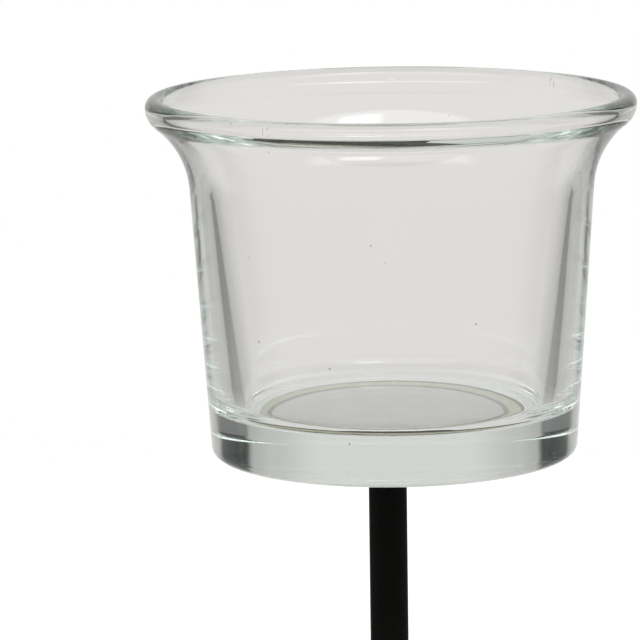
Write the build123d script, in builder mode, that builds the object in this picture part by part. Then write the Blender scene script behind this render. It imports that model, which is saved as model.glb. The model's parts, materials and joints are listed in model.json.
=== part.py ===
from build123d import *
from math import asin, atan2, degrees, hypot
import os

# Glass tealight holder: a flared cup of clear pressed glass that stands loose on a slim black steel pedestal.
# Millimetres, +Z up. The origin is in the middle of the foot, on the table top.

# Cup, with heights measured from its own underside
cup_height = 49.0
rim_radius = 33.0
lip_radius = 1.35
lip_underside_radius = 3.1
flare_angle = 52.0
neck_bend_radius = 12.0
mouth_bend_radius = 16.8
foot_radius = 24.9
heel_round = 1.5
floor_height = 6.2
floor_radius = 20.5
floor_round = 3.0
punt_depth = 0.9
punt_round = 0.3
foot_ring_round = 0.4

# Seat that the cup nests on
seat_radius = 16.5
seat_thickness = 1.5
seat_edge_bevel = 0.3
pad_radius = 19.7
pad_thickness = 0.8
nest_play = 1.3
nest_gap = 0.3

# Stem
stem_radius = 2.6
stem_length = 85.0
stem_chamfer = 0.3
stem_hole_depth = 12.0

# Base plate
base_radius = 42.0
base_thickness = 5.0
base_top_round = 1.5
base_bottom_chamfer = 0.5
socket_depth = 1.0

# Rubber foot pads
foot_pad_radius = 5.0
foot_pad_thickness = 2.0
foot_pad_pocket_depth = 0.8
foot_pad_circle_radius = 34.0
foot_pad_count = 4
foot_pad_start = 45.0
foot_pad_bevel = 0.4

# M3 fasteners
screw_radius = 1.5
seat_screw_head_radius = 3.0
seat_screw_length = 9.0
base_screw_head_radius = 2.75
base_screw_head_height = 1.5
base_screw_reach = 8.0
hex_key_size = 2.0
hex_key_depth = 1.0
washer_radius = 3.0
washer_thickness = 0.7
washer_slit = 0.8
counterbore_radius = 4.0

# Clearances
thread_clearance = 0.05
socket_clearance = 0.05
countersink_clearance = 0.03
pocket_clearance = 0.1
screw_hole_clearance = 0.15
counterbore_clearance = 0.2

# Levels of the stack, from the table up
base_bottom = foot_pad_thickness - foot_pad_pocket_depth
base_top = base_bottom + base_thickness
socket_floor = base_top - socket_depth
stem_top = base_top + stem_length
seat_top = stem_top + seat_thickness
pad_top = seat_top + pad_thickness
cup_level = pad_top - punt_depth
counterbore_depth = washer_thickness + base_screw_head_height + counterbore_clearance
counterbore_floor = base_bottom + counterbore_depth

# The punt drops over the seat pad. The loose cup has been pushed across until only the nest gap is left beside it
punt_radius = pad_radius + nest_play
cup_shift = nest_play - nest_gap
cup_plane = Plane(origin=(cup_shift, 0, cup_level), x_dir=(1, 0, 0), z_dir=(0, -1, 0))
cup_axis = Axis((cup_shift, 0, cup_level), (0, 0, 1))

os.makedirs("parts", exist_ok=True)


def lean(point, centre, radius):
    """Degrees from upright of the line that rises from point and touches the near side of a circle."""
    across = centre.X - point[0]
    rise = centre.Y - point[1]
    return degrees(atan2(across, rise) - asin(radius / hypot(across, rise)))


# Glass cup: one lathe section, whose lip, neck and mouth are arcs that run tangent into each other
with BuildPart() as glass_cup:
    with BuildSketch(cup_plane):
        with BuildLine():
            widest = (rim_radius, cup_height - lip_radius)
            foot = (foot_radius, 0)
            floor_corner = (floor_radius, floor_height)

            lip_underside = JernArc(widest, (0, -1), lip_underside_radius, -flare_angle)
            neck_centre = lip_underside @ 1 + (lip_underside % 1).rotate(Axis.Z, 90) * neck_bend_radius
            neck_turn = flare_angle - lean(foot, neck_centre, neck_bend_radius)
            neck = JernArc(lip_underside @ 1, lip_underside % 1, neck_bend_radius, neck_turn)

            lip = JernArc(widest, (0, 1), lip_radius, 180 - flare_angle)
            mouth_centre = lip @ 1 + (lip % 1).rotate(Axis.Z, 90) * mouth_bend_radius
            mouth_turn = flare_angle - lean(floor_corner, mouth_centre, mouth_bend_radius)
            mouth = JernArc(lip @ 1, lip % 1, mouth_bend_radius, mouth_turn)

            Polyline(
                mouth @ 1,
                floor_corner,
                (0, floor_height),
                (0, punt_depth),
                (punt_radius, punt_depth),
                (punt_radius, 0),
                foot,
                neck @ 1,
            )
        make_face()
    revolve(axis=cup_axis)

    underside = glass_cup.edges().filter_by(GeomType.CIRCLE).group_by(Axis.Z)[0]
    fillet(underside.sort_by(SortBy.RADIUS)[-1], heel_round)
    foot_ring = glass_cup.edges().filter_by(GeomType.CIRCLE).group_by(Axis.Z)[0]
    fillet(foot_ring.sort_by(SortBy.RADIUS)[0], foot_ring_round)
    punt_roof = cup_level + punt_depth
    fillet(glass_cup.edges().filter_by_position(Axis.Z, punt_roof, punt_roof), punt_round)
    floor_level = cup_level + floor_height
    fillet(glass_cup.edges().filter_by_position(Axis.Z, floor_level, floor_level), floor_round)
glass_cup.part.label = "glass_cup"
export_step(glass_cup.part, "parts/glass_cup.step")


# Seat pad: a disc of pale silicone stuck on the seat disc, which carries the cup's punt and keeps it centred
with BuildPart() as seat_pad:
    with BuildSketch(Plane.XY.offset(seat_top)):
        Circle(pad_radius)
    extrude(amount=pad_thickness)
seat_pad.part.label = "seat_pad"
export_step(seat_pad.part, "parts/seat_pad.step")


# Seat disc: steel, countersunk through its middle for the seat screw
with BuildPart() as seat_disc:
    with BuildSketch(Plane.XY.offset(stem_top)):
        Circle(seat_radius)
    extrude(amount=seat_thickness)
    chamfer(seat_disc.edges().group_by(Axis.Z)[0], seat_edge_bevel)
    with Locations((0, 0, seat_top)):
        CounterSinkHole(
            radius=screw_radius + thread_clearance,
            counter_sink_radius=seat_screw_head_radius,
            depth=seat_thickness,
            counter_sink_angle=90,
        )
seat_disc.part.label = "seat_disc"
export_step(seat_disc.part, "parts/seat_disc.step")


# Seat screw: M3, countersunk, with its head flush under the pad
with BuildPart() as seat_screw:
    with BuildSketch(Plane.XZ):
        head_edge = seat_screw_head_radius - countersink_clearance
        head_depth = head_edge - screw_radius
        with BuildLine():
            Polyline(
                (0, seat_top),
                (head_edge, seat_top),
                (screw_radius, seat_top - head_depth),
                (screw_radius, seat_top - seat_screw_length),
                (0, seat_top - seat_screw_length),
                close=True,
            )
        make_face()
    revolve(axis=Axis.Z)
    with BuildSketch(Plane.XY.offset(seat_top)):
        RegularPolygon(hex_key_size / 2, 6, major_radius=False)
    extrude(amount=-hex_key_depth, mode=Mode.SUBTRACT)
seat_screw.part.label = "seat_screw"
export_step(seat_screw.part, "parts/seat_screw.step")


# Stem: a steel rod, drilled and tapped at both ends
with BuildPart() as stem:
    with BuildSketch(Plane.XY.offset(socket_floor)):
        Circle(stem_radius)
    extrude(amount=stem_top - socket_floor)
    chamfer(stem.edges().filter_by(GeomType.CIRCLE), stem_chamfer)
    with Locations((0, 0, stem_top)):
        Hole(screw_radius + thread_clearance, depth=stem_hole_depth)
    with Locations(Plane(origin=(0, 0, socket_floor), z_dir=(0, 0, -1))):
        Hole(screw_radius + thread_clearance, depth=stem_hole_depth)
stem.part.label = "stem"
export_step(stem.part, "parts/stem.step")


# Base plate: a round steel plate with a socket for the stem, a screw recess and pockets for the foot pads
with BuildPart() as base_plate:
    with BuildSketch(Plane.XY.offset(base_bottom)):
        Circle(base_radius)
    extrude(amount=base_thickness)
    fillet(base_plate.edges().group_by(Axis.Z)[-1], base_top_round)
    chamfer(base_plate.edges().group_by(Axis.Z)[0], base_bottom_chamfer)
    with Locations((0, 0, base_top)):
        Hole(stem_radius + socket_clearance, depth=socket_depth)
    with Locations(Plane(origin=(0, 0, base_bottom), z_dir=(0, 0, -1))):
        CounterBoreHole(screw_radius + screw_hole_clearance, counterbore_radius, counterbore_depth)
    with BuildSketch(Plane.XY.offset(base_bottom)):
        with PolarLocations(foot_pad_circle_radius, foot_pad_count, start_angle=foot_pad_start):
            Circle(foot_pad_radius + pocket_clearance)
    extrude(amount=foot_pad_pocket_depth, mode=Mode.SUBTRACT)
base_plate.part.label = "base_plate"
export_step(base_plate.part, "parts/base_plate.step")


# Lock washer: a split ring under the head of the base screw
with BuildPart() as lock_washer:
    with BuildSketch(Plane.XY.offset(counterbore_floor - washer_thickness)):
        Circle(washer_radius)
        Circle(screw_radius + screw_hole_clearance, mode=Mode.SUBTRACT)
        with Locations((washer_radius / 2, 0)):
            Rectangle(washer_radius, washer_slit, mode=Mode.SUBTRACT)
    extrude(amount=washer_thickness)
lock_washer.part.label = "lock_washer"
export_step(lock_washer.part, "parts/lock_washer.step")


# Base screw: M3 with a low round head, driven up into the stem
head_top = counterbore_floor - washer_thickness
with BuildPart() as base_screw:
    with BuildSketch(Plane.XY.offset(head_top)):
        Circle(base_screw_head_radius)
    extrude(amount=-base_screw_head_height)
    with BuildSketch(Plane.XY.offset(head_top)):
        Circle(screw_radius)
    extrude(amount=base_screw_reach)
    with BuildSketch(Plane.XY.offset(head_top - base_screw_head_height)):
        RegularPolygon(hex_key_size / 2, 6, major_radius=False)
    extrude(amount=hex_key_depth, mode=Mode.SUBTRACT)
base_screw.part.label = "base_screw"
export_step(base_screw.part, "parts/base_screw.step")


# Foot pads: rubber dots pressed into the pockets under the base plate
with BuildPart() as foot_pads:
    with BuildSketch(Plane.XY):
        with PolarLocations(foot_pad_circle_radius, foot_pad_count, start_angle=foot_pad_start):
            Circle(foot_pad_radius)
    extrude(amount=foot_pad_thickness)
    chamfer(foot_pads.edges().group_by(Axis.Z)[0], foot_pad_bevel)
foot_pads.part.label = "foot_pads"
export_step(foot_pads.part, "parts/foot_pads.step")
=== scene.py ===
"""Glass tealight holder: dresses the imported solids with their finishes, and sets the pale studio.

The cup is turned again as one fine lathe mesh, because clear glass shows every facet of a coarse one.
Lengths are in metres.
"""

import bmesh
import bpy
import json
import math
from bpy.props import FloatProperty, FloatVectorProperty, IntProperty, PointerProperty
from mathutils import Matrix, Vector

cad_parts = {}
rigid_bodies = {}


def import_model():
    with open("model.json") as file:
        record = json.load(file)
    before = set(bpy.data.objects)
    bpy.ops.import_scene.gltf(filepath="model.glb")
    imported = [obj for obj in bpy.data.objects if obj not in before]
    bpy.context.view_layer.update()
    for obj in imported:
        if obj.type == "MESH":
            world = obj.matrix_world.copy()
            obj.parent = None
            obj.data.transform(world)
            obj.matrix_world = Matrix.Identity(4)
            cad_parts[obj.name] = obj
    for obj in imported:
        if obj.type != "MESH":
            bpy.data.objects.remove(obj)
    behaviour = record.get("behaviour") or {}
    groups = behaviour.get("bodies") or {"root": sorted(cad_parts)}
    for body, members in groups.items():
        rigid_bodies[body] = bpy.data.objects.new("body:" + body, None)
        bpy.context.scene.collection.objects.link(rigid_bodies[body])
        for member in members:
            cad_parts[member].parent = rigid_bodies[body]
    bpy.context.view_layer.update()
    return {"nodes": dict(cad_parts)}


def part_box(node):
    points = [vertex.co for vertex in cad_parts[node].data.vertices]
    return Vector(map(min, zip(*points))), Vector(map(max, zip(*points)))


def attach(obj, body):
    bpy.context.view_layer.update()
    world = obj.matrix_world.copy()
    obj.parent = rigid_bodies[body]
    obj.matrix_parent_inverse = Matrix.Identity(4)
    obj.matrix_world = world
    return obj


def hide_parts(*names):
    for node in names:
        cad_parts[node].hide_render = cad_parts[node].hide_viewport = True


bl_info = {
    "name": "Glass Tealight Holder",
    "version": (1, 0, 0),
    "blender": (4, 5, 0),
    "location": "View3D > Sidebar > Tealight",
    "description": "Dresses a glass tealight cup on its black steel pedestal",
    "category": "Object",
}

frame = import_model()
cup_low, cup_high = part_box("glass_cup")

# Camera: the aim point stands on the cup's axis, near its middle height, and shows at the aim pixel
FRAME_SIDE = 640
AIM_PIXEL = (392.76, 270.09)
AIM_BELOW_RIM = 0.024
METRES_PER_PIXEL = 0.000135
SENSOR_WIDTH = 36.0

# Light crosses many faces before it leaves the thick base of the cup
LIGHT_BOUNCES = 32

# Floor: a round disc, and the light that makes it white to the camera
FLOOR_RADIUS = 0.45
FLOOR_SEGMENTS = 96
FLOOR_GLOW = 0.36

# Sweep: angles from the horizon. The cards fade out above and below, and stay paler under the horizon
CARDS_FADE = (math.radians(18), math.radians(30))
CARDS_LIFT = (math.radians(-6), math.radians(1))
LEAST_LOW_CARD = 0.2
CEILING = (math.radians(22), math.radians(50))
OPEN_SWEEP_SHARE = 0.92
CEILING_IN_GLASS_SHARE = 0.9

# Window behind the camera, on an upright plane at distance 1. Each pair is where it has faded out and where it is full
WINDOW_MIDDLE = (0.45, 1.25)
PANE_WIDTH = (0.4, 0.22)
PANE_HEIGHT = (0.34, 0.2)
VEIL_WIDTH = (1.7, 1.2)
VEIL_HEIGHT = (0.7, 0.45)
VEIL_SHARE = 0.4

# Lathe: points nearer than this are one point
SAME_POINT = 1e-7

WHITE = (1.0, 1.0, 1.0, 1.0)
STARTUP_OBJECTS = ("Cube", "Light", "Camera")


class CupSize(bpy.types.PropertyGroup):
    """Lathe section of the cup, measured from its own underside."""

    lip_radius: FloatProperty(
        name="Lip",
        description="Radius of the fire-polished lip",
        default=0.00135, subtype="DISTANCE",
    )
    lip_turn: FloatProperty(
        name="Lip turn",
        description="How far the rolled lip turns, from its widest point over the top to the inside",
        default=math.radians(190), subtype="ANGLE",
    )
    lip_hollow: FloatProperty(
        name="Lip hollow",
        description="Radius of the hollow between the rolled lip and the mouth",
        default=0.0006, subtype="DISTANCE",
    )
    lip_underside_radius: FloatProperty(
        name="Under the lip",
        description="Radius that runs from the lip into the neck",
        default=0.0031, subtype="DISTANCE",
    )
    flare: FloatProperty(
        name="Flare",
        description="Lean of the neck where it meets the lip",
        default=math.radians(52), subtype="ANGLE",
    )
    neck_bend: FloatProperty(
        name="Neck bend",
        description="Radius of the hollow outside the neck",
        default=0.012, subtype="DISTANCE",
    )
    mouth_bend: FloatProperty(
        name="Mouth bend",
        description="Radius of the swell inside the neck",
        default=0.015, subtype="DISTANCE",
    )
    foot_radius: FloatProperty(
        name="Foot",
        description="Radius of the foot, before its edge is rounded",
        default=0.0249, subtype="DISTANCE",
    )
    heel_round: FloatProperty(
        name="Heel",
        description="Rounding of the foot's outer edge",
        default=0.0015, subtype="DISTANCE",
    )
    floor_height: FloatProperty(
        name="Floor height",
        description="Thickness of the base, from the foot ring to the inside floor",
        default=0.0062, subtype="DISTANCE",
    )
    floor_radius: FloatProperty(
        name="Floor",
        description="Radius of the inside floor, before its corner is rounded",
        default=0.0205, subtype="DISTANCE",
    )
    floor_round: FloatProperty(
        name="Floor corner",
        description="Rounding between the inside floor and the wall",
        default=0.003, subtype="DISTANCE",
    )
    punt_radius: FloatProperty(
        name="Punt",
        description="Radius of the recess underneath",
        default=0.021, subtype="DISTANCE",
    )
    punt_depth: FloatProperty(
        name="Punt depth",
        description="Depth of the recess underneath, with the film of air over the silicone",
        default=0.00094, subtype="DISTANCE",
    )
    punt_round: FloatProperty(
        name="Punt corner",
        description="Rounding inside the recess",
        default=0.0003, subtype="DISTANCE",
    )
    ring_round: FloatProperty(
        name="Foot ring",
        description="Rounding of the foot ring's inner edge",
        default=0.0004, subtype="DISTANCE",
    )
    divisions: IntProperty(
        name="Divisions",
        description="Divisions of the lathe turn",
        default=288, min=48,
    )


class Finish(bpy.types.PropertyGroup):
    """Colours of the finishes."""

    glass: FloatVectorProperty(
        name="Glass",
        description="Tint of the clear glass",
        default=(0.998, 0.996, 0.99), subtype="COLOR", size=3, min=0, max=1,
    )
    powder: FloatVectorProperty(
        name="Powder coat",
        description="Black coat on stem, seat and base",
        default=(0.0014, 0.0015, 0.0012), subtype="COLOR", size=3, min=0, max=1,
    )
    silicone: FloatVectorProperty(
        name="Silicone",
        description="Pale pad under the cup",
        default=(0.985, 0.96, 0.7), subtype="COLOR", size=3, min=0, max=1,
    )
    zinc: FloatVectorProperty(
        name="Zinc",
        description="Plated screws and washer",
        default=(0.55, 0.56, 0.58), subtype="COLOR", size=3, min=0, max=1,
    )
    rubber: FloatVectorProperty(
        name="Rubber",
        description="Foot pads",
        default=(0.028, 0.028, 0.027), subtype="COLOR", size=3, min=0, max=1,
    )


class Studio(bpy.types.PropertyGroup):
    """Camera and light."""

    distance: FloatProperty(
        name="Distance",
        description="From the camera to the middle of the cup",
        default=0.6, subtype="DISTANCE",
    )
    elevation: FloatProperty(
        name="Elevation",
        description="Of the camera above the middle of the cup",
        default=math.radians(9.18), subtype="ANGLE",
    )
    roll: FloatProperty(
        name="Roll",
        description="Tilt of the camera about its line of sight",
        default=math.radians(0.65), subtype="ANGLE",
    )
    backdrop: FloatVectorProperty(
        name="Backdrop",
        description="Grey of the sweep round the holder, as the glass sees it",
        default=(0.765, 0.75, 0.735), subtype="COLOR", size=3, min=0, max=1,
    )
    flags: FloatVectorProperty(
        name="Flags",
        description="Grey of the two cards that draw the glass's dark edges",
        default=(0.016, 0.022, 0.02), subtype="COLOR", size=3, min=0, max=1,
    )
    flag_start: FloatProperty(
        name="Flags start",
        description="Turn from straight ahead at which the cards begin",
        default=math.radians(41), subtype="ANGLE",
    )
    flag_end: FloatProperty(
        name="Flags end",
        description="Turn from straight ahead at which the cards end",
        default=math.radians(63), subtype="ANGLE",
    )
    overhead: FloatProperty(
        name="Overhead",
        description="Level of the light from above",
        default=0.85, min=0, max=2,
    )
    window: FloatProperty(
        name="Window",
        description="Level of the soft window above and behind the camera",
        default=5.0, min=0, max=20,
    )


def opaque(colour, level=1.0):
    """A colour property at a level, with full alpha."""
    return (*[part * level for part in colour], 1.0)


def grey(level):
    """A neutral colour at a level, with full alpha."""
    return (level, level, level, 1.0)


class Wiring:
    """Adds nodes to a tree and joins them with few words."""

    def __init__(self, tree):
        self.tree = tree

    def node(self, kind, **values):
        made = self.tree.nodes.new(kind)
        for name, value in values.items():
            setattr(made, name, value)
        return made

    def put(self, value, socket):
        """Links an output to the socket, or sets the socket to a plain value."""
        if isinstance(value, bpy.types.NodeSocket):
            self.tree.links.new(value, socket)
        else:
            socket.default_value = value

    def maths(self, operation, *values, clamp=False):
        made = self.node("ShaderNodeMath", operation=operation, use_clamp=clamp)
        for socket, value in zip(made.inputs, values):
            self.put(value, socket)
        return made.outputs[0]

    def span(self, value, low, high):
        """0 up to low, 1 from high on, and smooth between. It runs the other way where high is the smaller."""
        made = self.node("ShaderNodeMapRange", interpolation_type="SMOOTHSTEP")
        self.put(value, made.inputs["Value"])
        self.put(low, made.inputs["From Min"])
        self.put(high, made.inputs["From Max"])
        return made.outputs["Result"]

    def noise(self, place, scale, detail=2.0, roughness=0.5):
        made = self.node("ShaderNodeTexNoise")
        self.put(place, made.inputs["Vector"])
        self.put(scale, made.inputs["Scale"])
        self.put(detail, made.inputs["Detail"])
        self.put(roughness, made.inputs["Roughness"])
        return made.outputs["Fac"]

    def mix_colour(self, amount, first, second, blend="MIX"):
        made = self.node("ShaderNodeMix", data_type="RGBA", blend_type=blend)
        self.put(amount, made.inputs[0])
        self.put(first, made.inputs[6])
        self.put(second, made.inputs[7])
        return made.outputs[2]

    def mix_value(self, amount, first, second):
        made = self.node("ShaderNodeMix", data_type="FLOAT")
        self.put(amount, made.inputs[0])
        self.put(first, made.inputs[2])
        self.put(second, made.inputs[3])
        return made.outputs[0]

    def mask(self, tree, **values):
        """Places a shared effect with its own values."""
        made = self.node("ShaderNodeGroup", node_tree=tree)
        for name, value in values.items():
            self.put(value, made.inputs[name])
        return made.outputs["Mask"]

    def place(self):
        """Place on the piece, in the piece's own axes."""
        return self.node("ShaderNodeTexCoord").outputs["Object"]

    def parts(self, vector):
        """The X, Y and Z of a vector."""
        split = self.node("ShaderNodeSeparateXYZ")
        self.put(vector, split.inputs[0])
        return split.outputs

    def from_axis(self, place):
        """Distance from the upright axis."""
        x, y, _ = self.parts(place)
        return self.maths("SQRT", self.maths("ADD", self.maths("POWER", x, 2.0), self.maths("POWER", y, 2.0)))

    def drawn_out(self, place, rise):
        """The place with its height scaled, so that a texture runs up and down."""
        made = self.node("ShaderNodeMapping")
        made.inputs["Scale"].default_value = (1.0, 1.0, rise)
        self.put(place, made.inputs["Vector"])
        return made.outputs[0]

    def bump(self, shader, height, strength, depth):
        """Gives the shader a skin that rises by a height map."""
        made = self.node("ShaderNodeBump")
        made.inputs["Strength"].default_value = strength
        made.inputs["Distance"].default_value = depth
        self.put(height, made.inputs["Height"])
        self.put(made.outputs[0], shader.inputs["Normal"])

    def glass_ray(self, path):
        """1 for a ray that comes off metal or through glass."""
        return self.maths("ADD", path.outputs["Is Glossy Ray"], path.outputs["Is Transmission Ray"], clamp=True)


def mask_group(name, **inputs):
    """An empty effect with number inputs, and one mask that it puts out."""
    tree = bpy.data.node_groups.new(name, "ShaderNodeTree")
    for label, value in inputs.items():
        socket = tree.interface.new_socket(name=label, in_out="INPUT", socket_type="NodeSocketFloat")
        socket.default_value = value
    tree.interface.new_socket(name="Mask", in_out="OUTPUT", socket_type="NodeSocketFloat")
    w = Wiring(tree)
    return tree, w, w.node("NodeGroupInput"), w.node("NodeGroupOutput")


def surface_dust():
    """Fine lint and dust that settles on faces that look up, as a mask from 0 to 1."""
    found = bpy.data.node_groups.get("Settled dust")
    if found:
        return found
    tree, w, given, out = mask_group("Settled dust", Scale=900.0, Amount=0.5)
    place = w.place()
    facing = w.parts(w.node("ShaderNodeNewGeometry").outputs["Normal"])
    upward = w.span(facing["Z"], 0.2, 0.95)
    patchy = w.span(w.noise(place, 60.0, detail=3.0), 0.4, 0.75)
    fine = w.span(w.noise(place, given.outputs["Scale"], roughness=0.7), 0.58, 0.7)
    mask = w.maths("MULTIPLY", w.maths("MULTIPLY", patchy, fine), upward)
    w.put(w.maths("MULTIPLY", mask, given.outputs["Amount"], clamp=True), out.inputs["Mask"])
    return tree


def edge_wear():
    """Bare edges where a coat rubs through, as a mask from 0 to 1."""
    found = bpy.data.node_groups.get("Edge wear")
    if found:
        return found
    tree, w, given, out = mask_group("Edge wear", Width=0.0004, Amount=0.5)
    bevel = w.node("ShaderNodeBevel", samples=4)
    w.put(given.outputs["Width"], bevel.inputs["Radius"])
    along = w.node("ShaderNodeVectorMath", operation="DOT_PRODUCT")
    w.put(bevel.outputs[0], along.inputs[0])
    w.put(w.node("ShaderNodeNewGeometry").outputs["Normal"], along.inputs[1])
    turned = w.maths("SUBTRACT", 1.0, along.outputs["Value"])
    broken = w.span(w.noise(w.place(), 420.0, detail=3.0, roughness=0.65), 0.46, 0.62)
    mask = w.maths("MULTIPLY", w.span(turned, 0.02, 0.2), broken)
    w.put(w.maths("MULTIPLY", mask, given.outputs["Amount"], clamp=True), out.inputs["Mask"])
    return tree


def blank_material(name):
    material = bpy.data.materials.new(name)
    material.use_nodes = True
    return material, Wiring(material.node_tree), material.node_tree.nodes["Principled BSDF"]


def glass_specks(w, place):
    """Small bubbles and grains of grit: one cell in thirteen holds a dot of its own size."""
    cells = w.node("ShaderNodeTexVoronoi", distance="EUCLIDEAN", feature="F1")
    w.put(place, cells.inputs["Vector"])
    w.put(420.0, cells.inputs["Scale"])
    draw = w.node("ShaderNodeSeparateColor")
    w.put(cells.outputs["Color"], draw.inputs[0])
    dot_size = w.maths("MULTIPLY_ADD", draw.outputs[1], 0.05, 0.03)
    dot = w.maths("LESS_THAN", cells.outputs["Distance"], dot_size)
    rare = w.maths("GREATER_THAN", draw.outputs[0], 0.925)
    return w.maths("MULTIPLY", dot, rare)


def lip_nicks(w, place):
    """Upright hair nicks in a few patches of the lip."""
    _, _, height = w.parts(place)
    on_lip = w.span(height, cup_high.z - 0.0021, cup_high.z - 0.0017)
    hairs = w.span(w.noise(w.drawn_out(place, 0.06), 3200.0, detail=0.0), 0.74, 0.78)
    patches = w.span(w.noise(place, 75.0, detail=1.0), 0.55, 0.62)
    return w.maths("MULTIPLY", w.maths("MULTIPLY", hairs, patches), on_lip)


def clear_glass(finish):
    """Pressed soda glass: a faint green where it is thick, specks, nicks on the lip and a slightly wavy skin."""
    grit = (0.36, 0.35, 0.33, 1.0)
    nicked = (0.5, 0.48, 0.45, 1.0)
    green = (0.3, 0.52, 0.42, 1.0)
    material, w, shader = blank_material("Clear pressed glass")
    shader.inputs["Transmission Weight"].default_value = 1.0
    shader.inputs["IOR"].default_value = 1.5
    shader.inputs["Roughness"].default_value = 0.0
    place = w.place()
    tint = w.mix_colour(glass_specks(w, place), opaque(finish.glass), grit)
    w.put(w.mix_colour(lip_nicks(w, place), tint, nicked), shader.inputs["Base Color"])
    w.bump(shader, w.noise(w.drawn_out(place, 0.45), 80.0, detail=1.0), strength=0.07, depth=0.0004)
    soak = w.node("ShaderNodeVolumeAbsorption")
    soak.inputs["Color"].default_value = green
    soak.inputs["Density"].default_value = 5.0
    w.put(soak.outputs[0], w.tree.nodes["Material Output"].inputs["Volume"])
    return material


def black_powder(finish):
    """Semi-matt black powder coat: a fine pebbled skin, rubbed a little at the edges."""
    bared = (0.09, 0.088, 0.085, 1.0)
    dusty = (0.13, 0.127, 0.12, 1.0)
    material, w, shader = blank_material("Black powder coat")
    place = w.place()
    tone = w.span(w.noise(place, 90.0, detail=3.0), 0.3, 0.75)
    coat = w.mix_colour(tone, opaque(finish.powder), opaque(finish.powder, 1.9))
    coat = w.mix_colour(w.mask(edge_wear(), Width=0.00035, Amount=0.55), coat, bared)
    coat = w.mix_colour(w.mask(surface_dust(), Scale=1500.0, Amount=0.22), coat, dusty)
    w.put(coat, shader.inputs["Base Color"])
    w.put(w.mix_value(tone, 0.42, 0.54), shader.inputs["Roughness"])
    shader.inputs["Specular IOR Level"].default_value = 0.06
    w.bump(shader, w.noise(place, 2600.0, roughness=0.6), strength=0.35, depth=0.00006)
    return material


def pale_silicone(finish):
    """Milky silicone, painted near-white where the seat disc backs it and warmer where it overhangs, with a painted
    shadow round the disc's edge and painted shade on its own rim.
    """
    disc_edge = 0.0165
    # Painted light and shade on the pad: its tone over the seat disc, the shadow of the disc's edge and the shade on
    # its rim
    painted_over_disc_tone = (0.98, 0.975, 0.965, 1.0)
    shadowed = (0.1, 0.1, 0.1, 1.0)
    painted_rim_shade = (0.045, 0.045, 0.043, 1.0)
    material, w, shader = blank_material("Pale silicone")
    place = w.place()
    across = w.from_axis(place)
    cloud = w.span(w.noise(place, 140.0), 0.3, 0.7)
    tone = w.mix_colour(cloud, opaque(finish.silicone), opaque(finish.silicone, 0.94))
    # Painted light: within about 16.1 mm of the axis, where the seat disc backs it, the pad is painted near-white;
    # further out it keeps the silicone's warm tint
    painted_backing_mask = w.maths("SUBTRACT", 1.0, w.span(across, 0.0161, 0.0167))
    tone = w.mix_colour(painted_backing_mask, tone, painted_over_disc_tone)
    # Painted shadow: a dark ring within 0.6 mm of the seat disc's edge, standing for the disc edge's shadow seen
    # through the silicone
    painted_edge_shadow = w.span(w.maths("ABSOLUTE", w.maths("SUBTRACT", across, disc_edge)), 0.0006, 0.0002)
    tone = w.mix_colour(painted_edge_shadow, tone, shadowed)
    # Painted shade: from about 18.7 mm out, the pad's rim is painted near-black as shade on its rounded edge
    rim = w.span(across, 0.0187, 0.0191)
    w.put(w.mix_colour(rim, tone, painted_rim_shade), shader.inputs["Base Color"])
    shader.inputs["Roughness"].default_value = 0.55
    shader.inputs["Subsurface Weight"].default_value = 0.1
    shader.inputs["Subsurface Radius"].default_value = (0.002, 0.0018, 0.0014)
    w.bump(shader, w.noise(place, 1800.0), strength=0.2, depth=0.00005)
    return material


def plated_zinc(finish):
    """Bright zinc plate with fine turning marks round the screw's axis."""
    marks_per_metre = 52000.0
    material, w, shader = blank_material("Zinc plate")
    place = w.place()
    rings = w.maths("SINE", w.maths("MULTIPLY", w.from_axis(place), marks_per_metre))
    bloom = w.span(w.noise(place, 300.0, detail=3.0), 0.35, 0.7)
    w.put(w.mix_colour(bloom, opaque(finish.zinc), opaque(finish.zinc, 0.82)), shader.inputs["Base Color"])
    shader.inputs["Metallic"].default_value = 1.0
    w.put(w.mix_value(bloom, 0.24, 0.4), shader.inputs["Roughness"])
    w.bump(shader, rings, strength=0.15, depth=0.00002)
    return material


def black_rubber(finish):
    """Matt moulded rubber with a little bloom and lint."""
    dusty = (0.2, 0.195, 0.18, 1.0)
    material, w, shader = blank_material("Foot rubber")
    place = w.place()
    bloom = w.span(w.noise(place, 500.0, detail=3.0, roughness=0.6), 0.4, 0.75)
    base = w.mix_colour(bloom, opaque(finish.rubber), opaque(finish.rubber, 1.7))
    base = w.mix_colour(w.mask(surface_dust(), Scale=1200.0, Amount=0.4), base, dusty)
    w.put(base, shader.inputs["Base Color"])
    shader.inputs["Roughness"].default_value = 0.82
    w.bump(shader, w.noise(place, 2200.0), strength=0.4, depth=0.00008)
    return material


def dress(node, material):
    mesh = frame["nodes"][node].data
    mesh.materials.clear()
    mesh.materials.append(material)


def arc(centre, radius, start, end, steps):
    """Points of an arc, by degrees, both ends included."""
    turns = [math.radians(start + (end - start) * i / steps) for i in range(steps + 1)]
    return [(centre[0] + radius * math.cos(t), centre[1] + radius * math.sin(t)) for t in turns]


def run(start, end, steps):
    """Points of a straight line, both ends included."""
    return [tuple(a + (b - a) * i / steps for a, b in zip(start, end)) for i in range(steps + 1)]


def lean(point, centre, radius):
    """Degrees from upright of the line that rises from point and touches the near side of a circle."""
    across = centre[0] - point[0]
    rise = centre[1] - point[1]
    return math.degrees(math.atan2(across, rise) - math.asin(radius / math.hypot(across, rise)))


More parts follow.
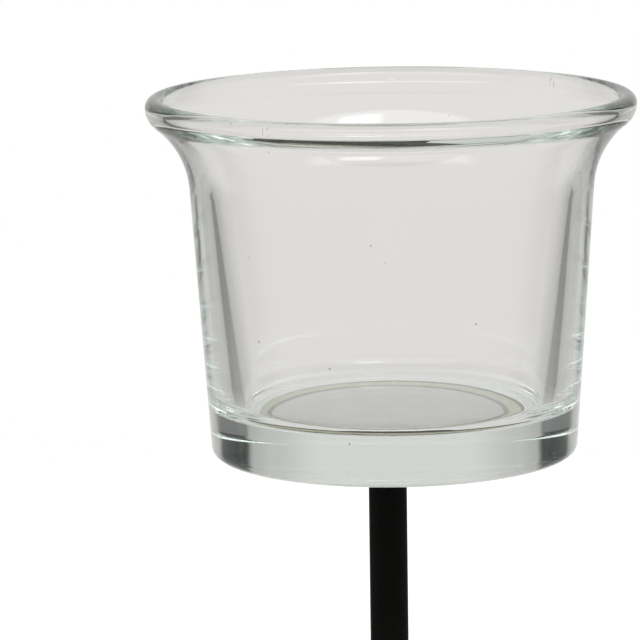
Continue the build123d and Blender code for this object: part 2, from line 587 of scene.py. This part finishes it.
def cup_section(size, height, rim):
    """The cup's right half, from the middle of its floor over the lip and down to the middle of its punt."""
    flare = math.degrees(size.flare)
    along = Vector((math.cos(size.flare), -math.sin(size.flare)))
    level = height - size.lip_radius

    lip = (rim - size.lip_radius, level)
    turned_in = Vector((math.cos(size.lip_turn), math.sin(size.lip_turn)))
    hollow = Vector(lip) + turned_in * (size.lip_radius + size.lip_hollow)
    mouth = hollow + along * (size.lip_hollow + size.mouth_bend)
    wall = lean((size.floor_radius, size.floor_height), mouth, size.mouth_bend)
    set_in = size.floor_round * math.tan(math.radians((90 - wall) / 2))
    corner = (size.floor_radius - set_in, size.floor_height + size.floor_round)

    points = run((0.0, size.floor_height), (corner[0], size.floor_height), steps=14)
    points += arc(corner, size.floor_round, -90, -wall, steps=14)
    mouth_start = arc(mouth, size.mouth_bend, 180 - wall, 180 - flare, steps=26)
    points += run(points[-1], mouth_start[0], steps=14)
    points += mouth_start
    lip_turn = math.degrees(size.lip_turn)
    points += arc(hollow, size.lip_hollow, -flare, lip_turn - 180, steps=14)
    points += arc(lip, size.lip_radius, lip_turn, 0, steps=40)

    under = (rim - size.lip_underside_radius, level)
    points += arc(under, size.lip_underside_radius, 0, -flare, steps=18)
    neck = Vector(points[-1]) + along * size.neck_bend
    wall = lean((size.foot_radius, 0.0), neck, size.neck_bend)
    points += arc(neck, size.neck_bend, 180 - flare, 180 - wall, steps=26)

    set_in = size.heel_round * math.tan(math.radians((90 + wall) / 2))
    heel = arc((size.foot_radius - set_in, size.heel_round), size.heel_round, -wall, -90, steps=16)
    points += run(points[-1], heel[0], steps=16)
    points += heel

    ring = size.punt_radius + size.ring_round
    roof = size.punt_depth - size.punt_round
    points += run(points[-1], (ring, 0.0), steps=4)
    points += arc((ring, size.ring_round), size.ring_round, -90, -180, steps=7)
    points += arc((size.punt_radius - size.punt_round, roof), size.punt_round, 0, 90, steps=7)
    points += run(points[-1], (0.0, size.punt_depth), steps=14)
    return points


def lathe(name, section, centre, divisions):
    """Turns a section about an upright axis through centre. A point on the axis becomes a pole."""
    thinned = [section[0]]
    for point in section[1:]:
        if math.dist(point, thinned[-1]) > SAME_POINT:
            thinned.append(point)
    mesh = bmesh.new()
    rings = []
    for radius, height in thinned:
        turns = [0.0] if radius < SAME_POINT else [math.tau * i / divisions for i in range(divisions)]
        places = [(radius * math.cos(t), radius * math.sin(t)) for t in turns]
        rings.append([mesh.verts.new((centre.x + x, centre.y + y, centre.z + height)) for x, y in places])
    for first, second in zip(rings, rings[1:]):
        for i in range(divisions):
            j = (i + 1) % divisions
            # On a pole two of the four corners are the same vertex, and dict.fromkeys drops the second
            corners = (
                first[i % len(first)], second[i % len(second)],
                second[j % len(second)], first[j % len(first)],
            )
            mesh.faces.new(dict.fromkeys(corners))
    bmesh.ops.recalc_face_normals(mesh, faces=mesh.faces)
    for face in mesh.faces:
        face.smooth = True
    return as_object(name, mesh)


def as_object(name, mesh):
    """Turns a finished bmesh into an object of the scene."""
    data = bpy.data.meshes.new(name)
    mesh.to_mesh(data)
    mesh.free()
    made = bpy.data.objects.new(name, data)
    bpy.context.scene.collection.objects.link(made)
    return made


class TEALIGHT_OT_cup(bpy.types.Operator):
    """Turn the glass cup on its lathe section"""

    bl_idname = "tealight.cup"
    bl_label = "Glass cup"

    def execute(self, context):
        size = context.scene.tealight_cup
        rim = (cup_high.x - cup_low.x) / 2
        centre = Vector(((cup_low.x + cup_high.x) / 2, 0.0, cup_low.z))
        section = cup_section(size, cup_high.z - cup_low.z, rim)
        cup = lathe("pressed_glass_cup", section, centre, size.divisions)
        cup.data.materials.append(clear_glass(context.scene.tealight_finish))
        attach(cup, "cup")
        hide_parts("glass_cup")
        return {"FINISHED"}


class TEALIGHT_OT_seat_pad(bpy.types.Operator):
    """Give the seat pad its milky silicone"""

    bl_idname = "tealight.seat_pad"
    bl_label = "Seat pad"

    def execute(self, context):
        dress("seat_pad", pale_silicone(context.scene.tealight_finish))
        return {"FINISHED"}


class TEALIGHT_OT_steel(bpy.types.Operator):
    """Powder coat the stem, the seat disc and the base plate"""

    bl_idname = "tealight.steel"
    bl_label = "Black steel"

    def execute(self, context):
        coat = black_powder(context.scene.tealight_finish)
        for node in ("stem", "seat_disc", "base_plate"):
            dress(node, coat)
        return {"FINISHED"}


class TEALIGHT_OT_fasteners(bpy.types.Operator):
    """Plate the screws and the lock washer"""

    bl_idname = "tealight.fasteners"
    bl_label = "Fasteners"

    def execute(self, context):
        plate = plated_zinc(context.scene.tealight_finish)
        for node in ("seat_screw", "base_screw", "lock_washer"):
            dress(node, plate)
        return {"FINISHED"}


class TEALIGHT_OT_foot_pads(bpy.types.Operator):
    """Give the foot pads their rubber"""

    bl_idname = "tealight.foot_pads"
    bl_label = "Foot pads"

    def execute(self, context):
        dress("foot_pads", black_rubber(context.scene.tealight_finish))
        return {"FINISHED"}


def sweep_shade(w, turn, studio):
    """Grey of the sweep by the turn from straight ahead: palest ahead, then the dark cards, then the room."""
    ramp = w.node("ShaderNodeValToRGB")
    w.put(w.maths("DIVIDE", turn, math.pi), ramp.inputs[0])
    bands = ramp.color_ramp
    bands.interpolation = "EASE"
    start, end = math.degrees(studio.flag_start), math.degrees(studio.flag_end)
    # Degrees from straight ahead, and how much of the backdrop's grey is left there
    stops = (
        (0, 1.0), (14, 1.0), (30, 0.74), (start - 3, 0.6), (start + 1, 0.0),
        (end - 4, 0.0), (end + 6, 0.62), (end + 30, 0.84), (180, 0.84),
    )
    while len(bands.elements) < len(stops):
        bands.elements.new(0.5)
    for element, (angle, share) in zip(bands.elements, stops):
        element.position = angle / 180
        element.color = opaque(a * share + b * (1 - share) for a, b in zip(studio.backdrop, studio.flags))
    return ramp.outputs["Color"]


def window_masks(w, east, north, high):
    """Where the soft veil and the brighter pane of the window stand, behind the camera."""
    south = w.maths("MAXIMUM", w.maths("MULTIPLY", north, -1.0), 0.001)
    across = w.maths("DIVIDE", east, south)
    up = w.maths("DIVIDE", high, south)
    from_middle = w.maths("ABSOLUTE", w.maths("SUBTRACT", across, WINDOW_MIDDLE[0]))
    from_sill = w.maths("ABSOLUTE", w.maths("SUBTRACT", up, WINDOW_MIDDLE[1]))
    veil_width = w.span(w.maths("ABSOLUTE", across), *VEIL_WIDTH)
    veil = w.maths("MULTIPLY", veil_width, w.span(from_sill, *VEIL_HEIGHT))
    pane = w.maths("MULTIPLY", w.span(from_middle, *PANE_WIDTH), w.span(from_sill, *PANE_HEIGHT))
    return veil, pane


def studio_world(studio):
    """A white sweep to the eye. Glass and metal see it pale grey, between two dark cards."""
    world = bpy.data.worlds.new("Studio")
    world.use_nodes = True
    world.node_tree.nodes.clear()
    w = Wiring(world.node_tree)
    east, north, high = w.parts(w.node("ShaderNodeTexCoord").outputs["Generated"])
    turn = w.maths("ABSOLUTE", w.maths("ARCTAN2", east, north))
    rise = w.maths("ARCSINE", high)

    # What glass and metal see
    low_card = w.mix_value(w.span(rise, *CARDS_LIFT), LEAST_LOW_CARD, 0.0)
    shade = w.mix_colour(1.0, sweep_shade(w, turn, studio), low_card, blend="LIGHTEN")
    past_cards = w.span(w.maths("ABSOLUTE", rise), *CARDS_FADE)
    seen = w.mix_colour(past_cards, shade, opaque(studio.backdrop, OPEN_SWEEP_SHARE))
    above = w.span(rise, *CEILING)
    seen = w.mix_colour(above, seen, grey(studio.overhead * CEILING_IN_GLASS_SHARE))

    # What matt surfaces are lit by, also where they lie under the glass
    plain = w.mix_colour(above, opaque(studio.backdrop), grey(studio.overhead))
    path = w.node("ShaderNodeLightPath")
    straight = w.maths("LESS_THAN", path.outputs["Diffuse Depth"], 0.5)
    level = w.mix_colour(w.maths("MULTIPLY", w.glass_ray(path), straight), plain, seen)

    veil, pane = window_masks(w, east, north, high)
    level = w.mix_colour(veil, level, w.mix_value(pane, studio.window * VEIL_SHARE, studio.window))
    level = w.mix_colour(path.outputs["Is Camera Ray"], level, WHITE)
    background = w.node("ShaderNodeBackground")
    w.put(level, background.inputs["Color"])
    w.put(background.outputs[0], w.node("ShaderNodeOutputWorld").inputs[0])
    return world


def pale_floor():
    """Floor paint that is white to the eye and keeps the holder's shadow. Glass and metal see through it."""
    material, w, shader = blank_material("Pale floor")
    mottle = w.span(w.noise(w.place(), 14.0, detail=3.0), 0.3, 0.7)
    w.put(w.mix_colour(mottle, (0.8, 0.8, 0.79, 1.0), (0.82, 0.82, 0.81, 1.0)), shader.inputs["Base Color"])
    shader.inputs["Roughness"].default_value = 0.7
    shader.inputs["Specular IOR Level"].default_value = 0.1
    shader.inputs["Emission Color"].default_value = WHITE
    path = w.node("ShaderNodeLightPath")
    w.put(w.maths("MULTIPLY", path.outputs["Is Camera Ray"], FLOOR_GLOW), shader.inputs["Emission Strength"])
    mixed = w.node("ShaderNodeMixShader")
    w.put(w.glass_ray(path), mixed.inputs[0])
    w.put(shader.outputs[0], mixed.inputs[1])
    w.put(w.node("ShaderNodeBsdfTransparent").outputs[0], mixed.inputs[2])
    w.put(mixed.outputs[0], w.tree.nodes["Material Output"].inputs["Surface"])
    return material


def studio_camera(studio):
    """A camera in front of the cup that looks down on its middle, shifted to frame it as the photograph does."""
    aim = Vector(((cup_low.x + cup_high.x) / 2, 0.0, cup_high.z - AIM_BELOW_RIM))
    back = Vector((0.0, -math.cos(studio.elevation), math.sin(studio.elevation)))
    right = Vector((1.0, 0.0, 0.0))
    up = back.cross(right)
    turned = right * math.cos(studio.roll) - up * math.sin(studio.roll)
    upward = up * math.cos(studio.roll) + right * math.sin(studio.roll)
    place = aim + back * studio.distance
    lens = bpy.data.cameras.new("camera")
    lens.sensor_width = SENSOR_WIDTH
    lens.lens = SENSOR_WIDTH * studio.distance / (METRES_PER_PIXEL * FRAME_SIDE)
    lens.shift_x = -(AIM_PIXEL[0] - FRAME_SIDE / 2) / FRAME_SIDE
    lens.shift_y = (AIM_PIXEL[1] - FRAME_SIDE / 2) / FRAME_SIDE
    camera = bpy.data.objects.new("camera", lens)
    camera.matrix_world = Matrix((
        (turned.x, upward.x, back.x, place.x),
        (turned.y, upward.y, back.y, place.y),
        (turned.z, upward.z, back.z, place.z),
        (0.0, 0.0, 0.0, 1.0),
    ))
    return camera


class TEALIGHT_OT_studio(bpy.types.Operator):
    """Set the floor, the light and the camera"""

    bl_idname = "tealight.studio"
    bl_label = "Studio"

    def execute(self, context):
        studio = context.scene.tealight_studio
        scene = context.scene
        scene.world = studio_world(studio)
        scene.view_settings.view_transform = "Standard"
        scene.cycles.max_bounces = LIGHT_BOUNCES
        scene.cycles.glossy_bounces = LIGHT_BOUNCES
        scene.cycles.transmission_bounces = LIGHT_BOUNCES

        mesh = bmesh.new()
        bmesh.ops.create_circle(mesh, cap_ends=True, segments=FLOOR_SEGMENTS, radius=FLOOR_RADIUS)
        floor = as_object("floor", mesh)
        floor.data.materials.append(pale_floor())

        camera = studio_camera(studio)
        scene.collection.objects.link(camera)
        scene.camera = camera
        return {"FINISHED"}


class TEALIGHT_PT_panel(bpy.types.Panel):
    """Steps and sizes of the tealight holder"""

    bl_idname = "TEALIGHT_PT_panel"
    bl_label = "Glass tealight holder"
    bl_space_type = "VIEW_3D"
    bl_region_type = "UI"
    bl_category = "Tealight"

    def draw(self, context):
        for step in STEPS:
            self.layout.operator(step.bl_idname)
        for name in SETTINGS:
            group = getattr(context.scene, name)
            box = self.layout.box()
            for value in group.__annotations__:
                box.prop(group, value)


SETTINGS = {"tealight_cup": CupSize, "tealight_finish": Finish, "tealight_studio": Studio}
STEPS = (
    TEALIGHT_OT_cup,
    TEALIGHT_OT_seat_pad,
    TEALIGHT_OT_steel,
    TEALIGHT_OT_fasteners,
    TEALIGHT_OT_foot_pads,
    TEALIGHT_OT_studio,
)


def register():
    for group in SETTINGS.values():
        bpy.utils.register_class(group)
    for name, group in SETTINGS.items():
        setattr(bpy.types.Scene, name, PointerProperty(type=group))
    for step in STEPS:
        bpy.utils.register_class(step)
    bpy.utils.register_class(TEALIGHT_PT_panel)


def unregister():
    bpy.utils.unregister_class(TEALIGHT_PT_panel)
    for step in reversed(STEPS):
        bpy.utils.unregister_class(step)
    for name in SETTINGS:
        delattr(bpy.types.Scene, name)
    for group in SETTINGS.values():
        bpy.utils.unregister_class(group)


def main():
    for item in [o for o in bpy.data.objects if o.name in STARTUP_OBJECTS]:
        bpy.data.objects.remove(item)
    register()
    bpy.ops.tealight.cup()
    bpy.ops.tealight.seat_pad()
    bpy.ops.tealight.steel()
    bpy.ops.tealight.fasteners()
    bpy.ops.tealight.foot_pads()
    bpy.ops.tealight.studio()


if __name__ == "__main__":
    main()
